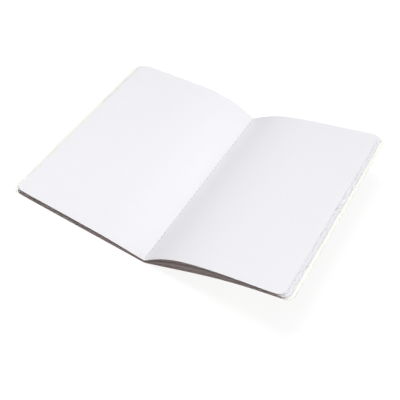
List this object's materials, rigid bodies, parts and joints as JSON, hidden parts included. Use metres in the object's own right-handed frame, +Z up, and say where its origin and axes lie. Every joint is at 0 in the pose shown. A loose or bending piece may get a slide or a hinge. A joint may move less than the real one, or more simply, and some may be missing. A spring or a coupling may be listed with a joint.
{
  "type": "notebook",
  "caption": "Thin sewn notebook with a soft card cover, blank pages and rounded corners, open at its middle spread; it closes at the fold and its top leaves turn.",
  "frame": {"origin": "on the table, under the middle of the open notebook's outline; the fold lies 4.8 mm to the right of it", "axes": "+X across the spread from the front cover's fore-edge to the back cover's, +Y along the fold towards the head of the pages, +Z up"},
  "size_m": [0.2684, 0.21, 0.0548],
  "materials": {
    "paper": "matt uncoated",
    "cover_card": "smooth ivory",
    "thread": "twisted white sewing thread"
  },
  "bodies": {
    "front_half": {"front_cover": "cover_card", "sheet_02_left": "paper", "sheet_03_left": "paper", "sheet_04_left": "paper", "sheet_05_left": "paper", "sheet_06_left": "paper", "sheet_07_left": "paper", "sheet_08_left": "paper", "sheet_09_left": "paper", "sheet_10_left": "paper", "sheet_11_left": "paper", "sheet_12_left": "paper", "sheet_13_left": "paper", "sheet_14_left": "paper", "sheet_15_left": "paper", "sheet_16_left": "paper", "sheet_17_left": "paper", "sheet_18_left": "paper", "sheet_19_left": "paper", "sheet_20_left": "paper", "needle_thread": "thread", "bobbin_thread": "thread"},
    "back_half": {"back_cover": "cover_card", "sheet_02_right": "paper", "sheet_03_right": "paper", "sheet_04_right": "paper", "sheet_05_right": "paper", "sheet_06_right": "paper", "sheet_07_right": "paper", "sheet_08_right": "paper", "sheet_09_right": "paper", "sheet_10_right": "paper", "sheet_11_right": "paper", "sheet_12_right": "paper", "sheet_13_right": "paper", "sheet_14_right": "paper", "sheet_15_right": "paper", "sheet_16_right": "paper", "sheet_17_right": "paper", "sheet_18_right": "paper", "sheet_19_right": "paper", "sheet_20_right": "paper"},
    "left_top_leaf": {"sheet_01_left": "paper"},
    "right_top_leaf": {"sheet_01_right": "paper"}
  },
  "joints": [
    {"name": "back_half_fold", "type": "hinge", "parent": "front_half", "child": "back_half", "pos_m": [0.0048, 0, 0.003], "axis": [0, -1, 0], "range_deg": [-22.5, 157.5], "deforming": ["sheet_01_left", "sheet_01_right", "sheet_02_left", "sheet_03_left", "sheet_04_left", "sheet_05_left", "sheet_06_left", "sheet_07_left", "sheet_08_left", "sheet_09_left", "sheet_10_left", "sheet_11_left", "sheet_12_left", "sheet_13_left", "sheet_14_left", "sheet_15_left", "sheet_16_left", "sheet_17_left", "sheet_18_left", "sheet_02_right", "sheet_03_right", "sheet_04_right", "sheet_05_right", "sheet_06_right", "sheet_07_right", "sheet_08_right", "sheet_09_right", "sheet_10_right", "sheet_11_right", "sheet_12_right", "sheet_13_right", "sheet_14_right", "sheet_15_right", "sheet_16_right", "sheet_17_right", "sheet_18_right"]},
    {"name": "right_leaf_turn", "type": "hinge", "parent": "back_half", "child": "right_top_leaf", "pos_m": [0.0048, 0, 0.003], "axis": [0, 1, 0], "range_deg": [-120, 0]},
    {"name": "left_leaf_turn", "type": "hinge", "parent": "front_half", "child": "left_top_leaf", "pos_m": [0.0048, 0, 0.003], "axis": [0, -1, 0], "range_deg": [-120, 0]}
  ]
}
